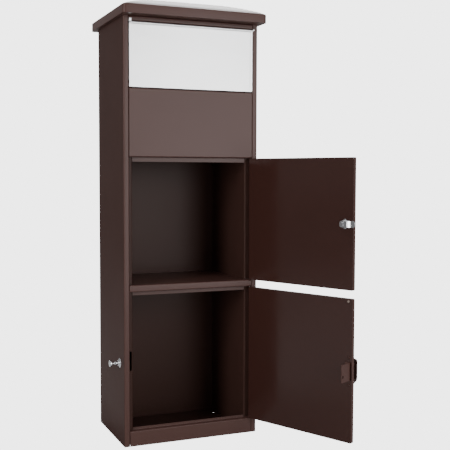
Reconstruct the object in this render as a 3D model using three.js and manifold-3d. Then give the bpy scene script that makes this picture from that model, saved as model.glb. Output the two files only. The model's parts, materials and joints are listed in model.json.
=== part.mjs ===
// Parcel drop box: a free-standing sheet-steel cabinet with a domed roof, a stainless drop flap,
// an upper mail door with a cam lock, and a lower parcel door held by a push lock on the side.
// Millimetres, +Z up. The origin is the centre of the footprint on the ground, the front faces -Y.
import * as THREE from 'three';
import { mergeVertices } from 'three/addons/utils/BufferGeometryUtils.js';
import Module from 'manifold-3d';

const wasm = await Module();
wasm.setup();

// Case
const bodyWidth = 400;
const bodyDepth = 268;
const caseSheet = 2;
const linerSheet = 1.5;
const foldRadius = 1.5;
const floorSheet = 3;
const fitGap = 0.3;
const seatGap = 0.1;

// Front, from the ground up
const kickHeight = 43;
const lowerDoorBay = 390;
const midRailHeight = 19;
const upperDoorBay = 354;
const fixedPanelHeight = 188;
const flapBay = 180;
const headRailHeight = 14;
const stileWidth = 16;
const recessDepth = 14;
const latchStopWidth = 12;
const hingeStopWidth = 17;
const kickStop = 7;
const railStop = 11;
const headStop = 13;
const panelSeam = 0.7;
const railFlange = 12;

// Roof
const roofSideOverhang = 11;
const roofFrontOverhang = 41;
const fasciaHeight = 25;
const domeRise = 41;
const roofCornerRadius = 10;
const roofSheet = 1.5;
const roofSeatSide = 30;
const roofSeatFront = 40;
const roofBoltRadius = 3;
const roofBoltLength = 12;
const roofBoltFlats = 10;
const roofBoltHead = 4;
const roofBoltInsetX = 16;
const roofBoltInsetY = 30;

// Floor anchor holes
const anchorRadius = 6;
const anchorInset = 45;

// Doors
const doorThickness = 11;
const doorSheet = 1.5;
const doorGap = 2;
const doorEndGap = 1.5;
const doorCornerRadius = 3;
const doorOpenAngle = THREE.MathUtils.degToRad(115);
const hingeInset = 3.5;
const hingeSetback = 2.6;
const hingePinRadius = 1.1;
const hingeKnuckleRadius = 2.4;
const hingeKnuckles = 8;
const hingeLeafSheet = 0.8;
const hingeLeafDepth = 13.4;
const hingeSeat = 0.2;

// Cam lock of the upper door
const camLockInset = 24;
const lockBarrelRadius = 9.5;
const lockBezelRadius = 12;
const lockBezelHeight = 2;
const lockPlugRadius = 6.2;
const lockNutFlats = 24;
const lockNutHeight = 4.5;
const camLength = 34;
const camWidth = 17;
const camSheet = 2;
const camCrank = 8;
const camCrankStart = 15;
const camCrankRun = 5;
const camClearance = 0.7;
const camNeckRadius = 4;
const camScrewRadius = 2;
const camScrewHeadRadius = 5.5;
const camScrewHeadHeight = 2.6;
const keywayWidth = 1.6;
const keywayLength = 7;
const strikeSpread = 53;
const strikeSheet = 1.2;
const strikeWidth = 20;
const strikeRivetInset = 6;
const rivetRadius = 2.4;
const rivetHeadRadius = 4;
const rivetHeadHeight = 1.2;

// Handle, tongue and bumper of the lower door
const handleInset = 9;
const handleSpan = 74;
const handleReach = 20;
const handleGrip = 54;
const handleBend = 7;
const handleWidth = 14;
const handleSheet = 3.5;
const handleFoot = 7;
const handleFootRise = 4;
const screwRadius = 2;
const screwHeadRadius = 4;
const screwHeadHeight = 2;
const screwBite = 3;
const camScrewBite = 10;
const tongueInset = 5;
const tongueHeight = 48;
const tongueReach = 40;
const tongueSheet = 2;
const tongueFoot = 16;
const tongueHoleRadius = 4.5;
const tongueHoleReach = 34;
const tongueHoleDrop = 9;
const tongueSlotMargin = 3;
const bumperRadius = 3.5;
const bumperHeight = 2.7;
const bumperInset = 12;
const bumperDrop = 7;

// Push lock on the left side wall
const plungerBoltRadius = 3.5;
const plungerBoltBite = 8;
const plungerNeckRadius = 6;
const plungerNeckEnd = 4;
const plungerTip = 15.5;
const plungerKnobRadius = 9.25;
const plungerKnobHeight = 6;
const plungerReach = 30.5;
const rosetteRadius = 13.5;
const rosetteTopRadius = 7.6;
const rosetteHeight = 7;
const housingRadius = 9;
const housingDepth = 13;
const housingNutFlats = 25;
const housingNutHeight = 4;

// Drop flap
const flapSheet = 1.5;
const flapSideGap = 1;
const flapTopGap = 2;
const flapFootGap = 2.5;
const flapPivotRise = 9;
const flapLipReach = 9;
const flapLipHem = 5;
const flapLipTab = 4;
const flapEdgeStrip = 6;
const flapEdgeRise = 9;
const flapEdgeSheet = 1.2;
const flapHem = 8;
const flapHemInset = 12;
const flapPinRadius = 2.5;
const flapPinReach = 5;
const knuckleRadius = 4;
const knuckleInset = 33;
const cheekRadius = 159;
const cheekSheet = 1.5;
const cheekGap = 1.5;
const trayStart = 8;
const trayReach = 150;
const traySlope = THREE.MathUtils.degToRad(-30);
const trayLip = 14;
const springTurns = 5;
const springPitch = 1.5;
const springGap = 2;
const springWireRadius = 0.5;

// Heights above the ground
const lowerDoorFoot = kickHeight;
const lowerDoorHead = lowerDoorFoot + lowerDoorBay;
const upperDoorFoot = lowerDoorHead + midRailHeight;
const upperDoorHead = upperDoorFoot + upperDoorBay;
const panelHead = upperDoorHead + fixedPanelHeight;
const flapHead = panelHead + flapBay;
const bodyHeight = flapHead + headRailHeight;
const lockZ = upperDoorFoot + upperDoorBay / 2;
const tongueZ = lowerDoorFoot + lowerDoorBay / 2;
const plungerZ = tongueZ - tongueHoleDrop;
const flapPivotZ = panelHead + flapPivotRise;

// Places across and into the box; y is 0 on the front face and grows towards the back
const halfWidth = bodyWidth / 2;
const openHalf = halfWidth - stileWidth;
const caseInside = halfWidth - caseSheet;
const latchWallX = -openHalf + latchStopWidth;
const hingeWallX = openHalf - hingeStopWidth;
const linerBack = bodyDepth - caseSheet - fitGap;
const stopFront = recessDepth + fitGap;
const stopBack = stopFront + linerSheet;
const stopMiddle = (stopFront + stopBack) / 2;
const faceMiddle = linerSheet / 2;
const doorHalf = openHalf - doorGap;
const hingeX = openHalf - hingeInset;
const doorHingeEdge = hingeX - hingeKnuckleRadius - fitGap - hingeSeat;
const lockX = -doorHalf + camLockInset;
const handleX = -doorHalf + handleInset;
const tongueX = -doorHalf + tongueInset;
const plungerY = doorThickness + tongueHoleReach;
const flapPivotY = flapSheet + fitGap + knuckleRadius;
const camTipY = stopBack + fitGap + strikeSheet + camClearance;
const camRootY = camTipY + camCrank;

const brown = { color: 0x4b3733, roughness: 0.32, metalness: 0.3 };
const deepBrown = { color: 0x3a2826, roughness: 0.3, metalness: 0.3 };
const stainless = { color: 0xd9d9d6, roughness: 0.35, metalness: 0.9 };
const chrome = { color: 0xc8c8ca, roughness: 0.12, metalness: 1 };
const zinc = { color: 0x9d9fa0, roughness: 0.45, metalness: 0.8 };
const rubber = { color: 0xb8b2ab, roughness: 0.8, metalness: 0 };

function add(parent, name, geometry, finish) {
  const mesh = new THREE.Mesh(geometry, new THREE.MeshStandardMaterial(finish));
  mesh.name = name;
  parent.add(mesh);
}

// A closed three.js geometry as a solid that can be cut and joined
function solid(geometry) {
  const bare = geometry.clone();
  bare.deleteAttribute('normal');
  bare.deleteAttribute('uv');
  const merged = mergeVertices(bare, 1e-4);
  const corners = merged.index.array;
  const kept = [];
  for (let i = 0; i < corners.length; i += 3) {
    const [a, b, c] = corners.slice(i, i + 3);
    if (a !== b && b !== c && c !== a) kept.push(a, b, c);
  }
  return new wasm.Manifold(new wasm.Mesh({
    numProp: 3,
    vertProperties: new Float32Array(merged.attributes.position.array),
    triVerts: new Uint32Array(kept),
  }));
}

function shell(manifold) {
  const mesh = manifold.getMesh();
  const geometry = new THREE.BufferGeometry();
  geometry.setAttribute('position', new THREE.BufferAttribute(mesh.vertProperties, 3));
  geometry.setIndex(new THREE.BufferAttribute(mesh.triVerts, 1));
  return geometry;
}

function cut(body, ...tools) {
  return shell(tools.reduce((rest, tool) => rest.subtract(solid(tool)), solid(body)));
}

function join(...bodies) {
  return shell(bodies.map(solid).reduce((whole, body) => whole.add(body)));
}

function common(body, mould) {
  return shell(solid(body).intersect(solid(mould)));
}

// The outline of a folded sheet, from the corners of its middle line, with an arc in each fold;
// a corner may carry its own inside radius as a third number
function foldedSheet(corners, thickness, arcSteps = 3) {
  const line = [];
  corners.forEach(([x, y, bend = foldRadius], i) => {
    const middleRadius = bend + thickness / 2;
    const corner = new THREE.Vector2(x, y);
    if (i === 0 || i === corners.length - 1) {
      line.push(corner);
      return;
    }
    const back = new THREE.Vector2(...corners[i - 1]).sub(corner).normalize();
    const ahead = new THREE.Vector2(...corners[i + 1]).sub(corner).normalize();
    const halfAngle = Math.acos(THREE.MathUtils.clamp(back.dot(ahead), -1, 1)) / 2;
    const toCentre = back.clone().add(ahead).normalize();
    const centre = corner.clone().addScaledVector(toCentre, middleRadius / Math.sin(halfAngle));
    const start = corner.clone().addScaledVector(back, middleRadius / Math.tan(halfAngle));
    const turn = Math.sign(ahead.cross(back)) * (Math.PI - 2 * halfAngle);
    for (let step = 0; step <= arcSteps; step += 1) {
      line.push(start.clone().rotateAround(centre, (turn * step) / arcSteps));
    }
  });
  const left = [];
  const right = [];
  line.forEach((point, i) => {
    const inward = point.clone().sub(line[Math.max(i - 1, 0)]).normalize();
    const outward = line[Math.min(i + 1, line.length - 1)].clone().sub(point).normalize();
    const along = inward.clone().add(outward).normalize();
    const isEnd = i === 0 || i === line.length - 1;
    const spread = isEnd ? 1 : 1 / Math.sqrt((1 + inward.dot(outward)) / 2);
    const side = new THREE.Vector2(-along.y, along.x).multiplyScalar((thickness / 2) * spread);
    left.push(point.clone().add(side));
    right.push(point.clone().sub(side));
  });
  return new THREE.Shape([...left, ...right.reverse()]);
}

function extrude(shape, depth) {
  return new THREE.ExtrudeGeometry(shape, { depth, bevelEnabled: false, curveSegments: 8 });
}

// Extrusions of a plan (x, y), a side view (y, z) and a front view (x, z)
function upright(shape, z0, z1) {
  return extrude(shape, z1 - z0).translate(0, 0, z0);
}

const sideView = new THREE.Matrix4().makeBasis(
  new THREE.Vector3(0, 1, 0),
  new THREE.Vector3(0, 0, 1),
  new THREE.Vector3(1, 0, 0),
);
function across(shape, x0, x1) {
  return extrude(shape, x1 - x0).applyMatrix4(sideView).translate(x0, 0, 0);
}

const frontView = new THREE.Matrix4().makeBasis(
  new THREE.Vector3(1, 0, 0),
  new THREE.Vector3(0, 0, 1),
  new THREE.Vector3(0, -1, 0),
);
function facing(shape, y0, y1) {
  return extrude(shape, y1 - y0).applyMatrix4(frontView).translate(0, y1, 0);
}

function block(x0, x1, y0, y1, z0, z1) {
  const box = new THREE.BoxGeometry(x1 - x0, y1 - y0, z1 - z0);
  return box.translate((x0 + x1) / 2, (y0 + y1) / 2, (z0 + z1) / 2);
}

function roundedRectangle(x0, x1, y0, y1, radius, arcSteps = 3) {
  const centres = [
    [x1 - radius, y0 + radius],
    [x1 - radius, y1 - radius],
    [x0 + radius, y1 - radius],
    [x0 + radius, y0 + radius],
  ];
  const points = [];
  centres.forEach(([x, y], corner) => {
    for (let step = 0; step <= arcSteps; step += 1) {
      const angle = ((corner - 1 + step / arcSteps) * Math.PI) / 2;
      points.push(new THREE.Vector2(x + radius * Math.cos(angle), y + radius * Math.sin(angle)));
    }
  });
  return new THREE.Shape(points);
}

// A nut's outline with its bore, two flats upright
function nutOutline(flats, boreRadius, x, y) {
  const corner = flats / Math.sqrt(3);
  const points = [0, 1, 2, 3, 4, 5].map((i) => {
    const angle = Math.PI / 6 + (i * Math.PI) / 3;
    return new THREE.Vector2(x + corner * Math.cos(angle), y + corner * Math.sin(angle));
  });
  const shape = new THREE.Shape(points);
  if (boreRadius > 0) shape.holes.push(new THREE.Path().absarc(x, y, boreRadius, 0, 2 * Math.PI));
  return shape;
}

// Round bars between two places along one axis
function barX(radius, x0, x1, y, z, sides = 16) {
  const bar = new THREE.CylinderGeometry(radius, radius, x1 - x0, sides).rotateZ(Math.PI / 2);
  return bar.translate((x0 + x1) / 2, y, z);
}

function barY(radius, y0, y1, x, z, sides = 16) {
  return new THREE.CylinderGeometry(radius, radius, y1 - y0, sides).translate(x, (y0 + y1) / 2, z);
}

function barZ(radius, z0, z1, x, y, sides = 16) {
  const bar = new THREE.CylinderGeometry(radius, radius, z1 - z0, sides).rotateX(Math.PI / 2);
  return bar.translate(x, y, (z0 + z1) / 2);
}

// A turned piece about +Y, from [radius, height] corners listed from the bottom up
function turned(corners, sides = 20) {
  const profile = corners.map(([radius, height]) => new THREE.Vector2(radius, height));
  return join(new THREE.LatheGeometry(profile, sides));
}

const cabinet = new THREE.Group();
cabinet.position.y = -bodyDepth / 2;

// Outer case: each side is one sheet folded round the front stile and back into the recess
function sidePanel(side) {
  const wall = side * (halfWidth - caseSheet / 2);
  const fold = side * (openHalf + caseSheet / 2);
  const section = foldedSheet(
    [[wall, bodyDepth], [wall, caseSheet / 2], [fold, caseSheet / 2], [fold, recessDepth]],
    caseSheet,
  );
  const pinRadius = flapPinRadius + fitGap;
  const pinBore = barX(pinRadius, fold - caseSheet, fold + caseSheet, flapPivotY, flapPivotZ);
  return cut(upright(section, 0, bodyHeight), pinBore);
}

function addCase() {
  const plungerBore = barX(
    housingRadius + fitGap,
    -halfWidth - caseSheet,
    -caseInside + caseSheet,
    plungerY,
    plungerZ,
    20,
  );
  add(cabinet, 'left_side_panel', cut(sidePanel(-1), plungerBore), brown);
  add(cabinet, 'right_side_panel', sidePanel(1), brown);

  const panelHalf = caseInside - fitGap;
  const backPanel = block(-panelHalf, panelHalf, bodyDepth - caseSheet, bodyDepth, 0, bodyHeight);
  add(cabinet, 'back_panel', backPanel, brown);

  const anchors = [-1, 1].flatMap((side) => [anchorInset, bodyDepth - anchorInset].map((y) => (
    barZ(anchorRadius, -1, floorSheet + 1, side * (halfWidth - anchorInset), y)
  )));
  const floor = block(-panelHalf, panelHalf, stopBack + fitGap, linerBack, 0, floorSheet);
  add(cabinet, 'base_plate', cut(floor, ...anchors), zinc);
}

// Inner walls, each with the flange that its door closes against
function liner(side, wallX) {
  const section = foldedSheet(
    [[side * (caseInside - fitGap), stopMiddle], [wallX, stopMiddle], [wallX, linerBack]],
    linerSheet,
  );
  return upright(section, floorSheet + fitGap, bodyHeight - linerSheet - fitGap);
}

// The tongue's widest swing about the hinge sets the slot that lets it through
const tongueOuter = tongueX - tongueSheet / 2;
const tongueTipY = doorThickness + tongueReach;
const tongueSwing = hingeX - Math.hypot(hingeX - tongueOuter, tongueTipY - hingeSetback);

function addLiners() {
  const tongueSlot = block(
    tongueSwing - 1.5,
    tongueX + tongueSheet / 2 + 1,
    recessDepth,
    stopBack + foldRadius,
    tongueZ - tongueHeight / 2 - tongueSlotMargin,
    tongueZ + tongueHeight / 2 + tongueSlotMargin,
  );
  const camSlot = block(
    latchWallX - foldRadius - linerSheet,
    latchWallX + foldRadius,
    camTipY - camClearance,
    camRootY + camSheet + camScrewHeadHeight + 1,
    lockZ - camWidth / 2 - 2,
    lockZ + camLength + 2,
  );
  const rivetBores = [-1, 1].map((end) => rivetBore(lockZ + end * strikeSpread));
  const left = liner(-1, latchWallX - linerSheet / 2);
  add(cabinet, 'left_liner', cut(left, tongueSlot, camSlot, ...rivetBores), brown);
  add(cabinet, 'right_liner', liner(1, hingeWallX + linerSheet / 2), brown);
}

// Strike of the cam lock, riveted behind the left flange
const strikeX = -openHalf + strikeRivetInset;

function rivetBore(z) {
  return barY(rivetRadius + fitGap, recessDepth, stopBack + 2 * strikeSheet, strikeX, z, 12);
}

function addStrike() {
  const front = stopBack + seatGap;
  const edge = latchWallX - linerSheet - foldRadius - fitGap;
  const reach = strikeSpread + 2 * rivetHeadRadius;
  const plate = block(edge - strikeWidth, edge, front, front + strikeSheet, lockZ - reach, lockZ + reach);
  const rivetZ = { lower: lockZ - strikeSpread, upper: lockZ + strikeSpread };
  add(cabinet, 'strike_plate', cut(plate, ...Object.values(rivetZ).map(rivetBore)), zinc);
  Object.entries(rivetZ).forEach(([end, z]) => {
    const back = front + strikeSheet + seatGap;
    const rivet = turned([
      [0, stopFront - seatGap - rivetHeadHeight],
      [rivetHeadRadius * 0.7, stopFront - seatGap - rivetHeadHeight],
      [rivetHeadRadius, stopFront - seatGap - rivetHeadHeight / 2],
      [rivetHeadRadius, stopFront - seatGap],
      [rivetRadius, stopFront - seatGap],
      [rivetRadius, back],
      [rivetHeadRadius * 0.9, back],
      [rivetHeadRadius * 0.9, back + rivetHeadHeight / 2],
      [0, back + rivetHeadHeight / 2],
    ], 12);
    add(cabinet, `strike_rivet_${end}`, rivet.translate(strikeX, 0, z), zinc);
  });
}

// A folded rail: as wide as the opening in front of the stops, and between the liners behind them
function rail(corners, sideGap = fitGap) {
  const half = openHalf - sideGap;
  const body = across(foldedSheet(corners, linerSheet), -half, half);
  const leftCut = block(-bodyWidth, latchWallX + fitGap, recessDepth, bodyDepth, 0, bodyHeight);
  const rightCut = block(hingeWallX - fitGap, bodyWidth, recessDepth, bodyDepth, 0, bodyHeight);
  return cut(body, leftCut, rightCut);
}

function addRails() {
  const kickTop = lowerDoorFoot - faceMiddle;
  add(cabinet, 'kick_plate', rail([
    [faceMiddle, 0],
    [faceMiddle, kickTop],
    [stopMiddle, kickTop],
    [stopMiddle, lowerDoorFoot + kickStop],
  ]), brown);

  add(cabinet, 'mid_shelf', rail([
    [linerBack, upperDoorFoot - faceMiddle],
    [faceMiddle, upperDoorFoot - faceMiddle],
    [faceMiddle, lowerDoorHead + faceMiddle],
    [stopMiddle, lowerDoorHead + faceMiddle],
    [stopMiddle, lowerDoorHead - railStop],
  ]), brown);

  add(cabinet, 'front_panel', rail([
    [railFlange, panelHead - faceMiddle],
    [faceMiddle, panelHead - faceMiddle],
    [faceMiddle, upperDoorHead + faceMiddle],
    [stopMiddle, upperDoorHead + faceMiddle],
    [stopMiddle, upperDoorHead - headStop],
  ], panelSeam), brown);

  const half = caseInside - fitGap;
  const front = openHalf - fitGap;
  const top = across(foldedSheet([
    [linerBack, bodyHeight - faceMiddle],
    [faceMiddle, bodyHeight - faceMiddle],
    [faceMiddle, flapHead + faceMiddle],
    [railFlange, flapHead + faceMiddle],
  ], linerSheet), -half, half);
  const notches = [-1, 1].map((side) => block(
    Math.min(side * front, side * bodyWidth),
    Math.max(side * front, side * bodyWidth),
    -1,
    stopFront,
    0,
    bodyHeight + 1,
  ));
  add(cabinet, 'top_panel', cut(top, ...notches, ...roofBolts.map(roofBoltBore)), brown);
}

// Roof: a shallow dome on an upright fascia, turned in underneath to sit on the case
const roofBolts = [-1, 1].flatMap((side) => [roofBoltInsetY, bodyDepth - roofBoltInsetY].map((y) => (
  { x: side * (halfWidth - roofBoltInsetX), y }
)));

function roofBoltBore({ x, y }) {
  return barZ(roofBoltRadius + fitGap, bodyHeight - 6, bodyHeight + 6, x, y, 12);
}

// Rings of one rounded rectangle: upright up to the eave, then shrinking as the dome climbs
function domeSolid(halfX, halfY, radius, foot, eave, rise, rings = 9, arcSteps = 3) {
  const levels = [{ size: 1, z: foot }];
  for (let ring = 0; ring < rings; ring += 1) {
    const size = 1 - ring / rings;
    levels.push({ size, z: eave + rise * (1 - size * size) });
  }
  const positions = [];
  const perRing = 4 * (arcSteps + 1);
  levels.forEach(({ size, z }) => {
    for (let i = 0; i < perRing; i += 1) {
      const corner = Math.floor(i / (arcSteps + 1));
      const angle = ((corner + (i % (arcSteps + 1)) / arcSteps) * Math.PI) / 2;
      const signX = corner === 0 || corner === 3 ? 1 : -1;
      const signY = corner < 2 ? 1 : -1;
      const x = signX * (halfX - radius) + radius * Math.cos(angle);
      const y = signY * (halfY - radius) + radius * Math.sin(angle);
      positions.push(x * size, y * size, z);
    }
  });
  const peak = levels.length * perRing;
  positions.push(0, 0, eave + rise, 0, 0, foot);
  const index = [];
  levels.forEach((level, ring) => {
    for (let i = 0; i < perRing; i += 1) {
      const a = ring * perRing + i;
      const b = ring * perRing + ((i + 1) % perRing);
      if (ring === 0) index.push(b, a, peak + 1);
      if (ring === levels.length - 1) index.push(a, b, peak);
      else index.push(a, b, b + perRing, a, b + perRing, a + perRing);
    }
  });
  const geometry = new THREE.BufferGeometry();
  geometry.setAttribute('position', new THREE.Float32BufferAttribute(positions, 3));
  geometry.setIndex(index);
  return geometry.translate(0, bodyDepth / 2, 0);
}

function addRoof() {
  const halfX = halfWidth + roofSideOverhang;
  const halfY = bodyDepth / 2 + roofFrontOverhang;
  const eave = bodyHeight + fasciaHeight;
  const outside = domeSolid(halfX, halfY, roofCornerRadius, bodyHeight, eave, domeRise);
  const inside = domeSolid(
    halfX - roofSheet,
    halfY - roofSheet,
    roofCornerRadius - roofSheet,
    bodyHeight + roofSheet,
    eave - roofSheet,
    domeRise,
  );
  const mouth = block(
    -halfWidth + roofSeatSide,
    halfWidth - roofSeatSide,
    roofSeatFront,
    bodyDepth - roofSeatFront,
    bodyHeight - 1,
    bodyHeight + 2 * roofSheet,
  );
  add(cabinet, 'roof_cap', cut(outside, inside, mouth, ...roofBolts.map(roofBoltBore)), brown);
  roofBolts.forEach(({ x, y }, i) => {
    const seat = bodyHeight + roofSheet + seatGap;
    const head = upright(nutOutline(roofBoltFlats, 0, x, y), seat, seat + roofBoltHead);
    const shank = barZ(roofBoltRadius, seat - roofBoltLength, seat + 1, x, y, 12);
    add(cabinet, `roof_bolt_${i + 1}`, join(head, shank), zinc);
    const nutTop = bodyHeight - linerSheet - seatGap;
    const nutPlan = nutOutline(roofBoltFlats, roofBoltRadius + fitGap, x, y);
    add(cabinet, `roof_nut_${i + 1}`, upright(nutPlan, nutTop - roofBoltHead, nutTop), zinc);
  });
}

// Push lock: a fixed housing in the left wall and a sprung plunger that slides through it
const fromLeftWall = new THREE.Matrix4().makeRotationZ(Math.PI / 2);

function onLeftWall(geometry) {
  return geometry.applyMatrix4(fromLeftWall).translate(-halfWidth, plungerY, plungerZ);
}

function addPushLock() {
  const bore = plungerNeckRadius + fitGap;
  const housing = turned([
    [bore, -housingDepth],
    [housingRadius, -housingDepth],
    [housingRadius, seatGap],
    [rosetteRadius, seatGap],
    [rosetteRadius, 1.5],
    [rosetteTopRadius, rosetteHeight],
    [bore, rosetteHeight],
    [bore, -housingDepth],
  ]);
  add(cabinet, 'plunger_housing', onLeftWall(housing), chrome);
  const nutFace = -caseInside + seatGap;
  const nutPlan = nutOutline(housingNutFlats, housingRadius + fitGap, plungerY, plungerZ);
  add(cabinet, 'plunger_nut', across(nutPlan, nutFace, nutFace + housingNutHeight), zinc);

  const boltBore = plungerBoltRadius + fitGap;
  const knob = turned([
    [0, -plungerNeckEnd + plungerBoltBite],
    [boltBore, -plungerNeckEnd + plungerBoltBite],
    [boltBore, -plungerNeckEnd],
    [plungerNeckRadius, -plungerNeckEnd],
    [plungerNeckRadius, plungerReach - plungerKnobHeight],
    [plungerKnobRadius, plungerReach - plungerKnobHeight],
    [plungerKnobRadius, plungerReach - 1],
    [plungerKnobRadius - 1, plungerReach],
    [0, plungerReach],
  ]);
  add(cabinet, 'plunger_knob', onLeftWall(knob), chrome);
  const bolt = turned([
    [0, -plungerTip],
    [plungerBoltRadius - 1, -plungerTip],
    [plungerBoltRadius, -plungerTip + 1],
    [plungerBoltRadius, -plungerNeckEnd + plungerBoltBite - fitGap],
    [0, -plungerNeckEnd + plungerBoltBite - fitGap],
  ], 16);
  add(cabinet, 'plunger_bolt', onLeftWall(bolt), chrome);
}

// One leaf of a continuous hinge: a strip with every other knuckle of the row
function hingeLeaf(foot, head, x0, x1, first) {
  const pitch = (head - foot) / hingeKnuckles;
  const clear = hingeSetback + hingeKnuckleRadius + fitGap;
  const inner = Math.min(Math.abs(x0 - hingeX), Math.abs(x1 - hingeX));
  const side = Math.sign(x0 - hingeX);
  const reach = hingeX + side * (inner - hingeLeafSheet);
  const end = first === 0 ? hingeLeafDepth : doorThickness - doorSheet - fitGap;
  const pieces = [block(x0, x1, clear, end, foot, head)];
  for (let i = first; i < hingeKnuckles; i += 2) {
    const low = foot + i * pitch + (i > 0 ? fitGap / 2 : 0);
    const high = foot + (i + 1) * pitch - (i < hingeKnuckles - 1 ? fitGap / 2 : 0);
    pieces.push(barZ(hingeKnuckleRadius, low, high, hingeX, hingeSetback, 14));
    pieces.push(block(Math.min(x0, reach), Math.max(x1, reach), hingeSetback, clear + 1, low, high));
  }
  const bore = barZ(hingePinRadius + fitGap, foot - 1, head + 1, hingeX, hingeSetback, 10);
  return cut(join(...pieces), bore);
}

// A door leaf, drawn closed and then swung open about its hinge
function addLeaf(name, bayFoot, bayHead, faceBores) {
  const hinge = new THREE.Group();
  hinge.position.set(hingeX, hingeSetback, 0);
  hinge.rotation.z = doorOpenAngle;
  const leaf = new THREE.Group();
  leaf.position.set(-hingeX, -hingeSetback, 0);
  hinge.add(leaf);
  cabinet.add(hinge);

  const foot = bayFoot + doorEndGap;
  const head = bayHead - doorEndGap;
  const linerFront = doorThickness - doorSheet;
  const returnEnd = linerFront - fitGap;
  const wall = doorSheet;
  const outline = roundedRectangle(-doorHalf, doorHingeEdge, foot, head, doorCornerRadius);
  const hollow = roundedRectangle(
    -doorHalf + wall,
    doorHingeEdge - wall,
    foot + wall,
    head - wall,
    doorCornerRadius - wall,
  );
  const tray = cut(facing(outline, 0, returnEnd), facing(hollow, wall, doorThickness));
  add(leaf, `${name}_skin`, cut(tray, ...faceBores), brown);
  add(leaf, `${name}_liner`, cut(facing(outline, linerFront, doorThickness), ...faceBores), deepBrown);

  const fixedX = openHalf - hingeSeat;
  const movingX = doorHingeEdge + hingeSeat;
  const fixed = hingeLeaf(foot, head, fixedX - hingeLeafSheet, fixedX, 0);
  add(cabinet, `${name}_hinge_fixed_leaf`, fixed, brown);
  const moving = hingeLeaf(foot, head, movingX, movingX + hingeLeafSheet, 1);
  add(leaf, `${name}_hinge_moving_leaf`, moving, brown);
  const pin = barZ(hingePinRadius, foot - fitGap, head + fitGap, hingeX, hingeSetback, 10);
  add(leaf, `${name}_hinge_pin`, pin, zinc);
  return leaf;
}

function addUpperDoor() {
  const barrelBore = barY(lockBarrelRadius + fitGap, -1, doorThickness + 1, lockX, lockZ, 20);
  const leaf = addLeaf('upper_door', upperDoorFoot, upperDoorHead, [barrelBore]);
  const barrelEnd = camRootY - fitGap;
  const bore = lockPlugRadius + fitGap;
  const barrel = turned([
    [bore, -lockBezelHeight],
    [lockBezelRadius - 1, -lockBezelHeight],
    [lockBezelRadius, -lockBezelHeight / 2],
    [lockBezelRadius, -seatGap],
    [lockBarrelRadius, -seatGap],
    [lockBarrelRadius, barrelEnd],
    [bore, barrelEnd],
    [bore, -lockBezelHeight],
  ]);
  add(leaf, 'lock_barrel', barrel.translate(lockX, 0, lockZ), chrome);
  const nutFront = doorThickness + seatGap;
  const nutPlan = nutOutline(lockNutFlats, lockBarrelRadius + fitGap, lockX, lockZ);
  add(leaf, 'lock_nut', facing(nutPlan, nutFront, nutFront + lockNutHeight), zinc);

  const screwBore = camScrewRadius + fitGap;
  const neckEnd = camRootY + camSheet;
  const plug = turned([
    [0, -lockBezelHeight / 2],
    [lockPlugRadius, -lockBezelHeight / 2],
    [lockPlugRadius, barrelEnd],
    [camNeckRadius, barrelEnd],
    [camNeckRadius, neckEnd],
    [screwBore, neckEnd],
    [screwBore, neckEnd - camScrewBite],
    [0, neckEnd - camScrewBite],
  ]).translate(lockX, 0, lockZ);
  const keyway = block(
    lockX - keywayWidth / 2,
    lockX + keywayWidth / 2,
    -lockBezelHeight,
    lockBezelHeight * 2,
    lockZ - keywayLength / 2,
    lockZ + keywayLength / 2,
  );
  add(leaf, 'lock_plug', cut(plug, keyway), chrome);

  const root = camRootY + camSheet / 2;
  const tip = camTipY + camSheet / 2;
  const strip = upright(foldedSheet([
    [lockX + camWidth / 2, root],
    [lockX - camCrankStart, root],
    [lockX - camCrankStart - camCrankRun, tip],
    [lockX - camLength, tip],
  ], camSheet, 2), lockZ - camWidth / 2, lockZ + camWidth / 2);
  const outline = roundedRectangle(
    lockX - camLength,
    lockX + camWidth / 2,
    lockZ - camWidth / 2,
    lockZ + camWidth / 2,
    camWidth / 3,
  );
  const neckBore = barY(camNeckRadius + fitGap, camRootY - 1, neckEnd + 1, lockX, lockZ);
  const cam = cut(common(strip, facing(outline, camTipY - 1, neckEnd + 1)), neckBore);
  add(leaf, 'lock_cam', cam, zinc);

  const headFoot = neckEnd + fitGap;
  const headTop = headFoot + camScrewHeadHeight;
  const screw = turned([
    [0, headFoot - camScrewBite + fitGap],
    [camScrewRadius, headFoot - camScrewBite + fitGap],
    [camScrewRadius, headFoot],
    [camScrewHeadRadius, headFoot],
    [camScrewHeadRadius, headTop - 0.8],
    [camScrewHeadRadius - 0.8, headTop],
    [0, headTop],
  ], 16).translate(lockX, 0, lockZ);
  const slot = block(lockX - 0.6, lockX + 0.6, headTop - 1.2, headTop + 1, lockZ - 6, lockZ + 6);
  add(leaf, 'cam_screw', cut(screw, slot), zinc);
}

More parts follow.
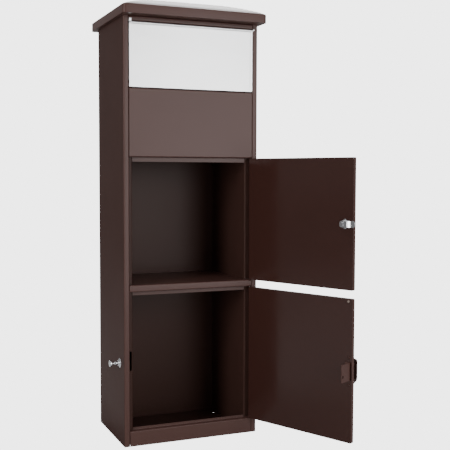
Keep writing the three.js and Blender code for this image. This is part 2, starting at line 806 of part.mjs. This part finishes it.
function addLowerDoor() {
  const legs = [-1, 1].map((end) => tongueZ + (end * handleSpan) / 2);
  const screwBores = legs.map((z) => (
    barY(screwRadius + fitGap, -1, doorThickness + 1, handleX, z, 12)
  ));
  const leaf = addLeaf('lower_door', lowerDoorFoot, lowerDoorHead, screwBores);

  const seat = -seatGap - handleSheet / 2;
  const grip = -handleReach + handleSheet / 2;
  const bow = foldedSheet([
    [seat, legs[0] - handleFoot],
    [seat, legs[0] + handleFootRise],
    [grip, tongueZ - handleGrip / 2, handleBend],
    [grip, tongueZ + handleGrip / 2, handleBend],
    [seat, legs[1] - handleFootRise],
    [seat, legs[1] + handleFoot],
  ], handleSheet);
  const bar = across(bow, handleX - handleWidth / 2, handleX + handleWidth / 2);
  const biteBores = legs.map((z) => barY(screwRadius + fitGap, -screwBite, 1, handleX, z, 12));
  add(leaf, 'handle', cut(bar, ...biteBores), deepBrown);

  ['lower', 'upper'].forEach((end, i) => {
    const headSeat = doorThickness + seatGap;
    const screw = turned([
      [0, -screwBite + fitGap],
      [screwRadius, -screwBite + fitGap],
      [screwRadius, headSeat],
      [screwHeadRadius, headSeat],
      [screwHeadRadius, headSeat + screwHeadHeight / 2],
      [screwHeadRadius - 1, headSeat + screwHeadHeight],
      [0, headSeat + screwHeadHeight],
    ], 12);
    add(leaf, `handle_screw_${end}`, screw.translate(handleX, 0, legs[i]), zinc);
  });

  const footMiddle = doorThickness + seatGap + tongueSheet / 2;
  const section = foldedSheet(
    [[tongueX, tongueTipY], [tongueX, footMiddle], [tongueX + tongueFoot, footMiddle]],
    tongueSheet,
  );
  const tongue = upright(section, tongueZ - tongueHeight / 2, tongueZ + tongueHeight / 2);
  const boltHole = barX(
    tongueHoleRadius,
    tongueX - tongueSheet,
    tongueX + tongueSheet,
    plungerY,
    plungerZ,
  );
  add(leaf, 'tongue', cut(tongue, boltHole), brown);

  const bumperFoot = doorThickness + seatGap;
  const bumperX = -doorHalf + bumperInset;
  const bumperZ = lowerDoorHead - doorEndGap - bumperDrop;
  const bumper = turned([
    [0, bumperFoot],
    [bumperRadius, bumperFoot],
    [bumperRadius, bumperFoot + bumperHeight * 0.6],
    [bumperRadius * 0.7, bumperFoot + bumperHeight],
    [0, bumperFoot + bumperHeight],
  ], 14);
  add(leaf, 'bumper', bumper.translate(bumperX, 0, bumperZ), rubber);
}

// Drop flap: the face, its side cheeks and the sloping tray that closes the way in as it opens
class Coil extends THREE.Curve {
  constructor(start, pitch, turns, radius) {
    super();
    Object.assign(this, { start, pitch, turns, radius });
  }

  getPoint(t, target = new THREE.Vector3()) {
    const angle = 2 * Math.PI * this.turns * t;
    return target.set(
      this.start + this.pitch * this.turns * t,
      flapPivotY + this.radius * Math.cos(angle),
      flapPivotZ + this.radius * Math.sin(angle),
    );
  }
}

function addFlap() {
  const half = openHalf - flapSideGap;
  const top = flapHead - flapTopGap;
  const middle = flapSheet / 2;
  const front = -flapLipReach + middle;
  const face = across(foldedSheet([
    [front, top - flapLipHem],
    [front, top - middle],
    [middle, top - middle],
    [middle, panelHead + flapFootGap],
  ], flapSheet), -half, half);
  const hems = [-1, 1].map((side) => block(
    Math.min(side * half, side * (half - flapSheet)),
    Math.max(side * half, side * (half - flapSheet)),
    middle,
    flapHem,
    flapPivotZ + flapHemInset,
    top - flapHemInset,
  ));
  const tabRoot = half - flapSheet;
  const tabFront = -flapLipReach + flapSheet;
  const tab = block(tabRoot, half + flapLipTab, tabFront, -2 * fitGap, top - flapSheet, top);
  const strips = [-1, 1].map((side) => block(
    Math.min(side * half, side * (half - flapEdgeStrip)),
    Math.max(side * half, side * (half - flapEdgeStrip)),
    -flapEdgeSheet,
    middle,
    flapPivotZ - knuckleRadius,
    top - middle,
  ));
  const stop = block(-half, flapEdgeStrip - half, -flapEdgeSheet, -fitGap, flapPivotZ, top + flapEdgeRise);
  add(cabinet, 'flap_face', join(face, tab, stop, ...strips, ...hems), stainless);

  const bore = flapPinRadius + fitGap;
  const knuckleHalf = openHalf - knuckleInset;
  const tube = new THREE.Shape().absarc(flapPivotY, flapPivotZ, knuckleRadius, 0, 2 * Math.PI);
  tube.holes.push(new THREE.Path().absarc(flapPivotY, flapPivotZ, bore, 0, 2 * Math.PI));
  add(cabinet, 'flap_knuckle', across(tube, -knuckleHalf, knuckleHalf), stainless);
  const pinEnd = openHalf + flapPinReach;
  const pin = barX(flapPinRadius, -pinEnd, pinEnd, flapPivotY, flapPivotZ, 12);
  add(cabinet, 'flap_pin', pin, zinc);

  const cheekFront = flapSheet + fitGap;
  const cheek = new THREE.Shape();
  cheek.moveTo(cheekFront, flapPivotZ - knuckleRadius);
  cheek.lineTo(railFlange + 1, flapPivotZ - knuckleRadius);
  cheek.absarc(flapPivotY, flapPivotZ, cheekRadius, traySlope, Math.PI / 2);
  cheek.lineTo(cheekFront, flapPivotZ + cheekRadius);
  const cheekBore = new THREE.Path().absarc(flapPivotY, flapPivotZ, bore, 0, 2 * Math.PI);
  cheek.holes.push(cheekBore);
  const leftCheek = latchWallX + cheekGap;
  const rightCheek = hingeWallX - cheekGap;
  add(cabinet, 'flap_cheek_left', across(cheek, leftCheek, leftCheek + cheekSheet), stainless);
  add(cabinet, 'flap_cheek_right', across(cheek, rightCheek - cheekSheet, rightCheek), stainless);

  const along = (reach, lift) => [
    flapPivotY + reach * Math.cos(traySlope) - lift * Math.sin(traySlope),
    flapPivotZ + reach * Math.sin(traySlope) + lift * Math.cos(traySlope),
  ];
  const tray = foldedSheet([along(trayStart, 0), along(trayReach, 0), along(trayReach, trayLip)], flapSheet);
  const trayLeft = leftCheek + cheekSheet + seatGap;
  const trayRight = rightCheek - cheekSheet - seatGap;
  add(cabinet, 'flap_tray', across(tray, trayLeft, trayRight), stainless);

  const coilRadius = flapPinRadius + fitGap + springWireRadius;
  const wire = new THREE.Shape().absarc(0, 0, springWireRadius, 0, 2 * Math.PI);
  const springStart = {
    left: -knuckleHalf - springGap - springTurns * springPitch,
    right: knuckleHalf + springGap,
  };
  Object.entries(springStart).forEach(([side, start]) => {
    const coil = new Coil(start, springPitch, springTurns, coilRadius);
    const spring = new THREE.ExtrudeGeometry(wire, { steps: 36, extrudePath: coil, curveSegments: 3 });
    add(cabinet, `flap_spring_${side}`, spring, zinc);
  });
}

addCase();
addLiners();
addStrike();
addRails();
addRoof();
addPushLock();
addUpperDoor();
addLowerDoor();
addFlap();

const parcelDropBox = new THREE.Group();
parcelDropBox.add(cabinet);

export default parcelDropBox;
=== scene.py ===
import json
from math import cos, pi, radians, sin
import bmesh
import bpy
from mathutils import Matrix, Vector


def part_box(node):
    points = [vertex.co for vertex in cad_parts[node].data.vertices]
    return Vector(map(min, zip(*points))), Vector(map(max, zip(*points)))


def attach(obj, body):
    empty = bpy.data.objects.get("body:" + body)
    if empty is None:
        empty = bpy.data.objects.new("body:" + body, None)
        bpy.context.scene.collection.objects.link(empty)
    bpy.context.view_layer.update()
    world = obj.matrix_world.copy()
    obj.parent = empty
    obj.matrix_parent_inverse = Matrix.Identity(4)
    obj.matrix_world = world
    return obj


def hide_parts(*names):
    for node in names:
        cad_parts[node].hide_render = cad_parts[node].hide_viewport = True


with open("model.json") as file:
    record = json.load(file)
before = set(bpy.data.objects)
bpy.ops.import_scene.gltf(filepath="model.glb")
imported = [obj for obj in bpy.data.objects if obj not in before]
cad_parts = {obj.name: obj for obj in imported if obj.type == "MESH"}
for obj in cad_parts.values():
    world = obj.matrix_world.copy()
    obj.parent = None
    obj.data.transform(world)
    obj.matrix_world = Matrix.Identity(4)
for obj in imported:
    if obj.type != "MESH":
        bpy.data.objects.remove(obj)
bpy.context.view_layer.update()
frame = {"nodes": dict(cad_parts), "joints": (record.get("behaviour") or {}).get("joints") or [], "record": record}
scene = bpy.context.scene
nodes = frame["nodes"]
joints = {joint["name"]: joint for joint in frame["joints"]}
bodyOf = {node: body for body, names in frame["record"]["behaviour"]["bodies"].items() for node in names}
doorAngle = -radians(joints["upper_door_hinge"]["range_deg"][0])


def doorTurn(jointName):
    # carries a piece drawn with the door shut to where the door stands open
    hinge = Vector(joints[jointName]["pos_m"])
    turn = Matrix.Rotation(doorAngle, 4, "Z")
    return Matrix.Translation(hinge) @ turn @ Matrix.Translation(-hinge)


still = Matrix.Identity(4)
placeOf = {
    "cabinet": still,
    "drop_flap": still,
    "side_plunger": still,
    "upper_door": doorTurn("upper_door_hinge"),
    "upper_cam": doorTurn("upper_door_hinge"),
    "lower_door": doorTurn("lower_door_hinge"),
}


def shutBox(node):
    # lowest and highest corner of a node with its door shut
    back = placeOf[bodyOf[node]].inverted()
    spots = [back @ vertex.co for vertex in nodes[node].data.vertices]
    low = Vector([min(spot[axis] for spot in spots) for axis in range(3)])
    high = Vector([max(spot[axis] for spot in spots) for axis in range(3)])
    return low, high


# camera, floor and light
view = {"place": (-0.8357, -2.3743, 0.7567), "tilt": 86.627, "roll": -0.147, "turn": -22.66, "lens": 67.74}
light = {"room": 0.32, "backdrop": 4}
lamps = {
    "frontSoftbox": {"place": (1.25, -3.3, 0.8), "aim": (0, 0, 0.6), "size": (1.7, 2.6), "power": 70},
    "backSoftbox": {"place": (0.8, 2.2, 2.9), "aim": (0, 0, 1.2), "size": (2.4, 1.4), "power": 80},
    "leftStrip": {"place": (-3.2, -1.6, 1.5), "aim": (0, 0, 0.7), "size": (0.8, 2.4), "power": 60},
    "topSoftbox": {"place": (0, -0.4, 3.2), "aim": (0, 0, 0.8), "size": (2.4, 2.4), "power": 20},
}


def setCamera():
    data = bpy.data.cameras.new("camera")
    data.lens = view["lens"]
    data.sensor_width = 36
    camera = bpy.data.objects.new("camera", data)
    camera.location = view["place"]
    camera.rotation_euler = (radians(view["tilt"]), radians(view["roll"]), radians(view["turn"]))
    scene.collection.objects.link(camera)
    scene.camera = camera


def addLight(name, lamp):
    data = bpy.data.lights.new(name, "AREA")
    data.shape = "RECTANGLE"
    data.size, data.size_y = lamp["size"]
    data.energy = lamp["power"]
    piece = bpy.data.objects.new(name, data)
    piece.location = lamp["place"]
    piece.rotation_euler = (Vector(lamp["aim"]) - Vector(lamp["place"])).to_track_quat("-Z", "Y").to_euler()
    scene.collection.objects.link(piece)


def setWorld():
    # the camera sees a white backdrop, the piece is lit by a dimmer room
    world = bpy.data.worlds.new("studio")
    world.use_nodes = True
    tree = world.node_tree
    room = tree.nodes["Background"]
    room.inputs["Color"].default_value = (1, 1, 1, 1)
    room.inputs["Strength"].default_value = light["room"]
    backdrop = tree.nodes.new("ShaderNodeBackground")
    backdrop.inputs["Strength"].default_value = light["backdrop"]
    backdrop.inputs["Color"].default_value = (1, 1, 1, 1)
    rays = tree.nodes.new("ShaderNodeLightPath")
    blend = tree.nodes.new("ShaderNodeMixShader")
    tree.links.new(rays.outputs["Is Camera Ray"], blend.inputs[0])
    tree.links.new(room.outputs[0], blend.inputs[1])
    tree.links.new(backdrop.outputs[0], blend.inputs[2])
    tree.links.new(blend.outputs[0], tree.nodes["World Output"].inputs["Surface"])
    scene.world = world


def setStage():
    setWorld()
    bm = bmesh.new()
    bmesh.ops.create_grid(bm, x_segments=1, y_segments=1, size=30)
    mesh = bpy.data.meshes.new("floor")
    bm.to_mesh(mesh)
    floor = bpy.data.objects.new("floor", mesh)
    scene.collection.objects.link(floor)
    paint = Paint("palePaper")
    speckle = paint.noise(9, 3)
    paint.set("Base Color", paint.mix(speckle, (0.5, 0.5, 0.5, 1), (0.56, 0.56, 0.56, 1)))
    paint.set("Roughness", 0.75)
    seen = paint.node("ShaderNodeLightPath")
    glow = paint.node("ShaderNodeEmission", {}, {"Strength": light["backdrop"]})
    matt = Wire(paint, paint.shader.outputs[0])
    blend = paint.node("ShaderNodeMixShader", {}, {0: seen, 1: matt, 2: glow})
    paint.tree.links.new(blend.socket, paint.tree.nodes["Material Output"].inputs["Surface"])
    floor.data.materials.append(paint.material)
    for name, lamp in lamps.items():
        addLight(name, lamp)


class Wire:
    def __init__(self, paint, socket):
        self.paint = paint
        self.socket = socket

    def math(self, operation, first, second):
        return self.paint.node("ShaderNodeMath", {"operation": operation}, {0: first, 1: second})

    def __add__(self, other):
        return self.math("ADD", self, other)

    def __radd__(self, other):
        return self.math("ADD", other, self)

    def __sub__(self, other):
        return self.math("SUBTRACT", self, other)

    def __rsub__(self, other):
        return self.math("SUBTRACT", other, self)

    def __mul__(self, other):
        return self.math("MULTIPLY", self, other)

    def __rmul__(self, other):
        return self.math("MULTIPLY", other, self)


class Paint:
    def __init__(self, name):
        self.material = bpy.data.materials.new(name)
        self.material.use_nodes = True
        self.tree = self.material.node_tree
        self.shader = self.tree.nodes["Principled BSDF"]

    def feed(self, socket, value):
        if isinstance(value, Wire):
            self.tree.links.new(value.socket, socket)
        else:
            socket.default_value = value

    def node(self, kind, settings=None, inputs=None, output=0):
        made = self.tree.nodes.new(kind)
        for name, value in (settings or {}).items():
            if name == "stops":
                for element, (position, shade) in zip(made.color_ramp.elements, value):
                    element.position = position
                    element.color = (shade, shade, shade, 1)
            else:
                setattr(made, name, value)
        for name, value in (inputs or {}).items():
            self.feed(made.inputs[name], value)
        return Wire(self, made.outputs[output])

    def spots(self, stretch=(1, 1, 1)):
        # where a point lies on the piece, squeezed along the axes
        raw = self.node("ShaderNodeTexCoord", output="Object")
        return self.node("ShaderNodeMapping", {}, {"Vector": raw, "Scale": stretch})

    def noise(self, scale, detail=2, stretch=(1, 1, 1), rough=0.5):
        inputs = {"Vector": self.spots(stretch), "Scale": scale, "Detail": detail, "Roughness": rough}
        return self.node("ShaderNodeTexNoise", {}, inputs)

    def ramp(self, value, low, high):
        return self.node("ShaderNodeValToRGB", {"stops": [(low, 0), (high, 1)]}, {"Fac": value})

    def mix(self, factor, first, second):
        # sockets 0, 6 and 7 are the factor and the two colours
        return self.node("ShaderNodeMix", {"data_type": "RGBA"}, {0: factor, 6: first, 7: second}, 2)

    def bump(self, height, strength, distance):
        return self.node("ShaderNodeBump", {}, {"Height": height, "Strength": strength, "Distance": distance})

    def set(self, name, value):
        self.feed(self.shader.inputs[name], value)


def powderCoat(name, colour, shade, gloss, peel=0.12, specular=0.3):
    # sprayed and baked: a fine orange peel, faint cloudiness, a little dust near the ground
    paint = Paint(name)
    clouds = paint.noise(5, 3)
    grain = paint.noise(1400, 1)
    height = paint.node("ShaderNodeSeparateXYZ", {}, {0: paint.spots()}, output="Z")
    dust = paint.ramp(height, 0.0, 0.09)
    speck = paint.ramp(paint.noise(260, 3), 0.62, 0.8)
    body = paint.mix(clouds, colour, shade)
    dusty = paint.mix((1 - dust) * speck * 0.25, body, (0.2, 0.17, 0.15, 1))
    paint.set("Base Color", dusty)
    paint.set("Roughness", gloss + clouds * 0.06 + grain * 0.05 + (1 - dust) * 0.08)
    paint.set("Specular IOR Level", specular)
    paint.set("Normal", paint.bump(paint.noise(420, 2) + grain * 0.3, peel, 0.0004))
    return paint.material


def enamel(name, colour, shade):
    # smooth stoved enamel on the inner faces, nearly a mirror
    paint = Paint(name)
    clouds = paint.noise(4, 2)
    wipe = paint.ramp(paint.noise(14, 4, (0.4, 0.4, 1)), 0.45, 0.75)
    paint.set("Base Color", paint.mix(clouds, colour, shade))
    paint.set("Roughness", 0.1 + wipe * 0.07 + paint.noise(600, 1) * 0.03)
    paint.set("Specular IOR Level", 0.34)
    paint.set("Normal", paint.bump(paint.noise(30, 2), 0.06, 0.0006))
    return paint.material


def brushedSteel(name):
    # long scratches across the flap, crossed by a fainter upright set
    paint = Paint(name)
    across = paint.noise(1, 3, (14, 900, 900))
    upward = paint.noise(1, 2, (900, 900, 14))
    haze = paint.noise(7, 3)
    lines = across * 0.7 + upward * 0.3
    paint.set("Base Color", paint.mix(lines * 0.6 + haze * 0.3, (0.8, 0.81, 0.82, 1), (0.97, 0.97, 0.97, 1)))
    paint.set("Metallic", 0.85)
    paint.set("Roughness", 0.25 + lines * 0.14 + haze * 0.05)
    paint.set("Normal", paint.bump(lines, 0.18, 0.0003))
    return paint.material


def polishedChrome(name):
    paint = Paint(name)
    smear = paint.ramp(paint.noise(90, 4), 0.5, 0.8)
    paint.set("Base Color", paint.mix(smear, (0.82, 0.82, 0.84, 1), (0.7, 0.7, 0.73, 1)))
    paint.set("Metallic", 1)
    paint.set("Roughness", 0.08 + smear * 0.14)
    paint.set("Normal", paint.bump(paint.noise(500, 1), 0.04, 0.0002))
    return paint.material


def zincPlate(name):
    # small plated crystals with a warm and cool drift
    paint = Paint(name)
    cells = paint.node("ShaderNodeTexVoronoi", {}, {"Vector": paint.spots(), "Scale": 350})
    drift = paint.noise(30, 3)
    paint.set("Base Color", paint.mix(drift, (0.55, 0.56, 0.58, 1), (0.68, 0.66, 0.6, 1)))
    paint.set("Metallic", 0.9)
    paint.set("Roughness", 0.3 + cells * 0.16 + drift * 0.08)
    paint.set("Normal", paint.bump(cells, 0.1, 0.0002))
    return paint.material


def softRubber(name):
    paint = Paint(name)
    pits = paint.noise(900, 3)
    paint.set("Base Color", paint.mix(pits, (0.2, 0.15, 0.13, 1), (0.26, 0.2, 0.17, 1)))
    paint.set("Roughness", 0.65 + pits * 0.2)
    paint.set("Normal", paint.bump(pits, 0.2, 0.0003))
    return paint.material


setCamera()
setStage()
finishes = {
    "brown_powder_coat": powderCoat(
        "brownPowderCoat", (0.085, 0.038, 0.031, 1), (0.075, 0.034, 0.028, 1), 0.32
    ),
    "dark_brown_enamel": enamel("darkBrownEnamel", (0.05, 0.02, 0.0155, 1), (0.043, 0.017, 0.0135, 1)),
    "stainless_flap": brushedSteel("stainlessFlap"),
    "chrome_lock": polishedChrome("chromeLock"),
    "zinc_hardware": zincPlate("zincHardware"),
    "grey_rubber": softRubber("greyRubber"),
}
# a darker, duller copy of the brown powder coat for the side panels: painted shade on the sides turned from the
# light
sideShadePaint = powderCoat(
    "sidePowderCoatPaintedShade", (0.056, 0.026, 0.021, 1), (0.05, 0.023, 0.019, 1), 0.42, specular=0.08
)
# a darker, less glossy copy of the brown powder coat for the inside of the compartments: painted shade in the
# recesses
linerShadePaint = powderCoat(
    "linerPowderCoatPaintedShade", (0.06, 0.028, 0.022, 1), (0.05, 0.024, 0.019, 1), 0.3, peel=0.08, specular=0.12
)
print("finishes ready")

slotOf = {entry["node"]: entry["material_slot"] for entry in frame["record"]["subparts"]}
for name, node in nodes.items():
    node.data.materials.clear()
    node.data.materials.append(finishes[slotOf[name]])
# the inner walls take the darker copy of the coat, a painted shade
for name in ("left_liner", "right_liner", "back_panel"):
    nodes[name].data.materials[0] = linerShadePaint
# the side panels take the darker copy of the coat, a painted shade
for name in ("left_side_panel", "right_side_panel"):
    nodes[name].data.materials[0] = sideShadePaint
# the base plate and the strike rivets take the darker interior coat, a painted shade, in place of zinc; the handle
# screws are painted over with the door enamel, the lock pieces plated brighter than the rest of the hardware
for name in ("base_plate", "strike_rivet_lower", "strike_rivet_upper"):
    nodes[name].data.materials[0] = linerShadePaint
for name in ("handle_screw_lower", "handle_screw_upper"):
    nodes[name].data.materials[0] = finishes["dark_brown_enamel"]
for name in ("lock_nut", "lock_cam", "cam_screw"):
    nodes[name].data.materials[0] = finishes["chrome_lock"]


def finishPiece(name, bm, node, place=still, sharp=40):
    # turns a bmesh into a piece that rides and is painted as its node is
    bm.transform(place)
    for face in bm.faces:
        face.smooth = True
    for edge in bm.edges:
        wide = len(edge.link_faces) == 2 and edge.calc_face_angle(0) > radians(sharp)
        edge.smooth = not wide
    mesh = bpy.data.meshes.new(name)
    bm.to_mesh(mesh)
    bm.free()
    mesh.materials.append(nodes[node].data.materials[0])
    piece = bpy.data.objects.new(name, mesh)
    scene.collection.objects.link(piece)
    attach(piece, bodyOf[node])
    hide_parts(node)
    return piece


def softenEdges(piece, width, segments=2, angle=35):
    bevel = piece.modifiers.new("softEdges", "BEVEL")
    bevel.width = width
    bevel.segments = segments
    bevel.limit_method = "ANGLE"
    bevel.angle_limit = radians(angle)
    bevel.harden_normals = False
    piece.modifiers.new("flatFaces", "WEIGHTED_NORMAL").keep_sharp = True


folded = {
    "left_side_panel": 0.0006, "right_side_panel": 0.0006, "front_panel": 0.0005, "top_panel": 0.0005,
    "kick_plate": 0.0005, "mid_shelf": 0.0005, "left_liner": 0.0004, "right_liner": 0.0004,
    "back_panel": 0.0005, "upper_door_skin": 0.0005, "lower_door_skin": 0.0005,
    "upper_door_liner": 0.0004, "lower_door_liner": 0.0004, "flap_face": 0.0004,
    "flap_tray": 0.0003, "flap_cheek_left": 0.0003, "flap_cheek_right": 0.0003,
    "tongue": 0.0005, "handle": 0.0008, "lock_cam": 0.0005, "strike_plate": 0.0003,
    "lock_nut": 0.0006, "plunger_nut": 0.0005,
}


def foldedPiece(node, width):
    # a sheet piece with its facets joined and its cut edges softened
    bm = bmesh.new()
    bm.from_mesh(nodes[node].data)
    bmesh.ops.remove_doubles(bm, verts=bm.verts, dist=0.00002)
    bmesh.ops.dissolve_limit(
        bm, angle_limit=radians(0.6), verts=bm.verts, edges=bm.edges, use_dissolve_boundaries=False
    )
    bm.normal_update()
    piece = finishPiece(node + "_sheet", bm, node, sharp=60)
    softenEdges(piece, width)
    return piece


def frontCoatOnStile(piece):
    # the narrow stile at the front keeps the brown coat of the front parts; the rest of the side panel carries a
    # darker, duller copy of that coat, a painted shade for the sides turned from the light
    piece.data.materials.append(finishes["brown_powder_coat"])
    for polygon in piece.data.polygons:
        if polygon.normal.y < -0.7:
            polygon.material_index = 1


for node, width in folded.items():
    piece = foldedPiece(node, width)
    if node.endswith("side_panel"):
        frontCoatOnStile(piece)
print("folded sheets ready")


def spunPiece(node, profile, axis, centre, steps=40):
    # a profile of (radius, distance along the axis) turned about a line through centre
    bm = bmesh.new()
    spots = [bm.verts.new((radius, 0, along)) for radius, along in profile]
    edges = [bm.edges.new(pair) for pair in zip(spots, spots[1:])]
    bmesh.ops.spin(
        bm, geom=spots + edges, cent=(0, 0, 0), axis=(0, 0, 1), angle=2 * pi, steps=steps,
        use_merge=True, use_duplicate=False,
    )
    bmesh.ops.remove_doubles(bm, verts=bm.verts, dist=0.00001)
    bmesh.ops.holes_fill(bm, edges=bm.edges, sides=0)
    bmesh.ops.recalc_face_normals(bm, faces=bm.faces)
    turn = Vector(axis).to_track_quat("Z", "X").to_matrix().to_4x4()
    place = placeOf[bodyOf[node]] @ Matrix.Translation(centre) @ turn
    return finishPiece(node + "_turned", bm, node, place, 35)


def rounded(corners, radius, steps=4):
    # swaps each corner marked True for a small arc; corners are (radius, along, soft)
    spots = []
    for index, (x, y, soft) in enumerate(corners):
        if not soft:
            spots.append((x, y))
            continue
        here = Vector((x, y))
        back = (Vector(corners[index - 1][:2]) - here)
        ahead = (Vector(corners[index + 1][:2]) - here)
        reach = min(radius, back.length * 0.45, ahead.length * 0.45)
        start = here + back.normalized() * reach
        end = here + ahead.normalized() * reach
        for step in range(steps + 1):
            part = step / steps
            spot = (1 - part) ** 2 * start + 2 * part * (1 - part) * here + part ** 2 * end
            spots.append((spot.x, spot.y))
    return spots


# roof: a hipped pillow on an upright fascia, with a rolled eave

roof = {"corner": 0.010, "eave": 0.0035, "fascia": 0.025, "turnUnder": 0.0015, "rings": 26}


def roofPiece():
    low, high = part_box("roof_cap")
    half = (high - low) / 2
    centre = (high + low) / 2
    bm = bmesh.new()
    bmesh.ops.create_grid(bm, x_segments=1, y_segments=1, size=1)
    bmesh.ops.scale(bm, vec=(half.x, half.y, 1), verts=bm.verts)
    bmesh.ops.bevel(
        bm, geom=bm.verts[:], offset=roof["corner"], segments=8, affect="VERTICES", profile=0.5, material=-1
    )
    bmesh.ops.translate(bm, vec=(centre.x, centre.y, low.z), verts=bm.verts)
    foot = next(iter(bm.faces))
    foot.normal_flip()
    rim = bm.edges[:]
    peak = high.z - low.z
    rise = peak - roof["fascia"]
    levels = [(1, 0.0008), (1, roof["fascia"] - roof["eave"])]
    start = 1 - roof["eave"] / half.y
    for step in range(1, 6):
        angle = step / 5 * radians(66)
        size = 1 - roof["eave"] * (1 - cos(angle)) / half.x
        levels.append((size, roof["fascia"] - roof["eave"] * (1 - sin(angle) * 0.95)))
    for ring in range(1, roof["rings"]):
        size = start * (1 - ring / roof["rings"])
        levels.append((size, roof["fascia"] + rise * (1 - size * size)))
    for size, height in levels:
        grown = bmesh.ops.extrude_edge_only(bm, edges=rim)["geom"]
        verts = [item for item in grown if isinstance(item, bmesh.types.BMVert)]
        rim = [item for item in grown if isinstance(item, bmesh.types.BMEdge)]
        rim = [edge for edge in rim if all(vert in verts for vert in edge.verts)]
        now = max(abs(vert.co.x - centre.x) for vert in verts)
        factor = size * half.x / now
        bmesh.ops.scale(
            bm, vec=(factor, factor, 1), verts=verts, space=Matrix.Translation(-centre)
        )
        for vert in verts:
            vert.co.z = low.z + height
    bmesh.ops.pointmerge(bm, verts=verts, merge_co=(centre.x, centre.y, high.z))
    bmesh.ops.inset_region(bm, faces=[foot], thickness=roof["turnUnder"], depth=0)
    bmesh.ops.remove_doubles(bm, verts=bm.verts, dist=0.00001)
    bmesh.ops.recalc_face_normals(bm, faces=bm.faces)
    return finishPiece("roof_shell", bm, "roof_cap", sharp=50)


roofPiece()
print("roof ready")


# turned pieces

knob = {
    "headRadius": 0.00925, "head": 0.006, "neckRadius": 0.006, "waist": 0.0052,
    "step": 0.006, "soft": 0.0012,
}


def knobPiece():
    low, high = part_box("plunger_knob")
    centre = Vector((low.x, (low.y + high.y) / 2, (low.z + high.z) / 2))
    reach = high.x - low.x
    profile = rounded([
        (0, 0, False),
        (knob["headRadius"], 0, True),
        (knob["headRadius"], knob["head"], True),
        (knob["neckRadius"], knob["head"], True),
        (knob["waist"], knob["head"] + knob["step"], True),
        (knob["neckRadius"], knob["head"] + 2 * knob["step"], True),
        (knob["neckRadius"], reach, False),
        (0, reach, False),
    ], knob["soft"])
    spunPiece("plunger_knob", profile, (1, 0, 0), centre)


housing = {
    "bore": 0.0063, "top": 0.0076, "shoulder": 0.0092, "barrel": 0.009, "rim": 0.0014,
    "seat": 0.0001, "soft": 0.0007,
}


def housingPiece():
    low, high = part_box("plunger_housing")
    centre = Vector((low.x, (low.y + high.y) / 2, (low.z + high.z) / 2))
    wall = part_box("left_side_panel")[0].x - housing["seat"]
    face = wall - low.x
    radius = (high.y - low.y) / 2
    profile = rounded([
        (housing["bore"], high.x - low.x, False),
        (housing["bore"], 0, True),
        (housing["top"], 0, True),
        (housing["shoulder"], face * 0.45, True),
        (radius, face - housing["rim"], True),
        (radius, face, False),
        (housing["barrel"], face, False),
        (housing["barrel"], high.x - low.x, False),
        (housing["bore"], high.x - low.x, False),
    ], housing["soft"])
    spunPiece("plunger_housing", profile, (1, 0, 0), centre)


barrel = {
    "bore": 0.0065, "lip": 0.0075, "dish": 0.0085, "body": 0.0095, "root": 0.0091, "end": 0.009,
    "dishDepth": 0.0006, "bezelHeight": 0.0019, "soft": 0.0006,
    "threadStart": 0.0145, "threadPitch": 0.0007, "threadTurns": 14,
}


def barrelPiece():
    low, high = shutBox("lock_barrel")
    centre = Vector(((low.x + high.x) / 2, low.y, (low.z + high.z) / 2))
    bezel = (high.x - low.x) / 2
    long = high.y - low.y
    profile = [(barrel["bore"], long)]
    profile += rounded([
        (barrel["bore"], 0, False),
        (barrel["lip"], 0, True),
        (barrel["dish"], barrel["dishDepth"], True),
        (bezel - 0.0004, barrel["dishDepth"], True),
        (bezel, barrel["bezelHeight"], False),
        (barrel["body"], barrel["bezelHeight"], False),
    ], barrel["soft"])
    pitch = barrel["threadPitch"]
    for turn in range(barrel["threadTurns"]):   # screw thread down the barrel
        along = barrel["threadStart"] + turn * pitch
        profile += [(barrel["body"], along), (barrel["root"], along + pitch / 2)]
    threadEnd = barrel["threadStart"] + barrel["threadTurns"] * pitch
    profile += [(barrel["body"], threadEnd), (barrel["body"], long - barrel["soft"])]
    profile += [(barrel["end"], long), (barrel["bore"], long)]
    spunPiece("lock_barrel", profile, (0, 1, 0), centre)


screw = {"headRadius": 0.004, "head": 0.002, "shank": 0.002, "soft": 0.0006}


def screwPiece(node):
    low, high = shutBox(node)
    centre = Vector(((low.x + high.x) / 2, high.y, (low.z + high.z) / 2))
    profile = rounded([
        (0, 0, False),
        (screw["headRadius"] * 0.7, 0.0001, True),
        (screw["headRadius"], screw["head"] * 0.55, True),
        (screw["headRadius"], screw["head"], False),
        (screw["shank"], screw["head"], False),
        (screw["shank"], high.y - low.y, False),
        (0, high.y - low.y, False),
    ], screw["soft"])
    spunPiece(node, profile, (0, -1, 0), centre, 32)


def bumperPiece():
    low, high = shutBox("bumper")
    centre = Vector(((low.x + high.x) / 2, low.y, (low.z + high.z) / 2))
    tall = high.y - low.y
    radius = (high.x - low.x) / 2
    profile = rounded([
        (0, 0, False),
        (radius, 0, False),
        (radius, tall * 0.6, True),
        (radius * 0.7, tall, True),
        (0, tall, False),
    ], 0.0009)
    spunPiece("bumper", profile, (0, 1, 0), centre)


knobPiece()
housingPiece()
barrelPiece()
screwPiece("handle_screw_lower")
screwPiece("handle_screw_upper")
bumperPiece()
print("turned pieces ready")
